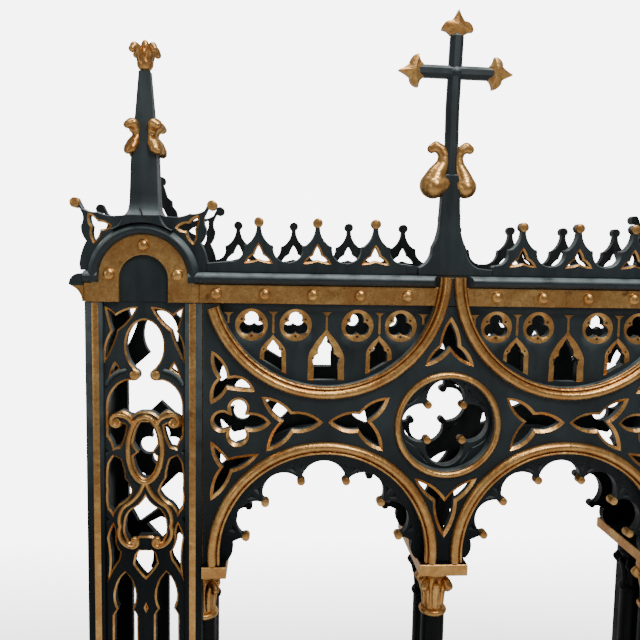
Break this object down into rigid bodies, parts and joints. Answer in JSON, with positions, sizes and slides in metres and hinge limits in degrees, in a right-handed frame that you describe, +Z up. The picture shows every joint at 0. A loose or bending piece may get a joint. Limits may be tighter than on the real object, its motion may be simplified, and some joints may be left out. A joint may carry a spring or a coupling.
{
  "type": "oratory altar canopy",
  "caption": "Gothic openwork canopy of an oratory altar, with pierced towers, arched screens, spires and a central cross.",
  "frame": {"origin": "middle of the plinth's underside", "axes": "+X to the viewer's right, -Y towards the viewer, +Z up"},
  "size_m": [1.5046, 0.3, 1.8573],
  "materials": {
    "dark_green_paint": "old satin oil paint, very dark green",
    "shaded_green_paint": "old paint, nearly black green",
    "old_gilding": "worn bronze gilding on wood"
  },
  "bodies": {
    "root": {"back_arcade_board": "shaded_green_paint", "back_cornice": "shaded_green_paint", "back_cresting": "shaded_green_paint", "back_hanging_arcs": "shaded_green_paint", "back_left_arch_cusping": "shaded_green_paint", "back_left_arch_moulding": "shaded_green_paint", "back_left_gable": "shaded_green_paint", "back_left_half_column": "shaded_green_paint", "back_left_tower_panel": "shaded_green_paint", "back_left_tympanum": "shaded_green_paint", "back_middle_column": "shaded_green_paint", "back_quatrefoil": "shaded_green_paint", "back_right_arch_cusping": "shaded_green_paint", "back_right_arch_moulding": "shaded_green_paint", "back_right_gable": "shaded_green_paint", "back_right_half_column": "shaded_green_paint", "back_right_tower_panel": "shaded_green_paint", "back_right_tympanum": "shaded_green_paint", "back_rosette_ring": "shaded_green_paint", "cross": "dark_green_paint", "front_arcade_board": "dark_green_paint", "front_cornice": "dark_green_paint", "front_hanging_arcs": "old_gilding", "front_left_arch_cusping": "dark_green_paint", "front_left_arch_moulding": "old_gilding", "front_left_cresting": "dark_green_paint", "front_left_gable": "dark_green_paint", "front_left_half_column": "dark_green_paint", "front_left_tower_panel": "dark_green_paint", "front_left_tympanum": "dark_green_paint", "front_middle_column": "dark_green_paint", "front_quatrefoil": "dark_green_paint", "front_right_arch_cusping": "dark_green_paint", "front_right_arch_moulding": "old_gilding", "front_right_cresting": "dark_green_paint", "front_right_gable": "dark_green_paint", "front_right_half_column": "dark_green_paint", "front_right_tower_panel": "dark_green_paint", "front_right_tympanum": "dark_green_paint", "front_rosette_ring": "old_gilding", "left_impost": "old_gilding", "left_side_cornice": "dark_green_paint", "left_spire": "dark_green_paint", "left_tower_inner_side": "shaded_green_paint", "left_tower_outer_side": "dark_green_paint", "left_tower_post_back_inner": "dark_green_paint", "left_tower_post_back_outer": "dark_green_paint", "left_tower_post_front_inner": "dark_green_paint", "left_tower_post_front_outer": "dark_green_paint", "middle_impost": "old_gilding", "plinth": "dark_green_paint", "right_impost": "old_gilding", "right_side_cornice": "dark_green_paint", "right_spire": "dark_green_paint", "right_tower_inner_side": "shaded_green_paint", "right_tower_outer_side": "dark_green_paint", "right_tower_post_back_inner": "dark_green_paint", "right_tower_post_back_outer": "dark_green_paint", "right_tower_post_front_inner": "dark_green_paint", "right_tower_post_front_outer": "dark_green_paint"}
  },
  "joints": []
}
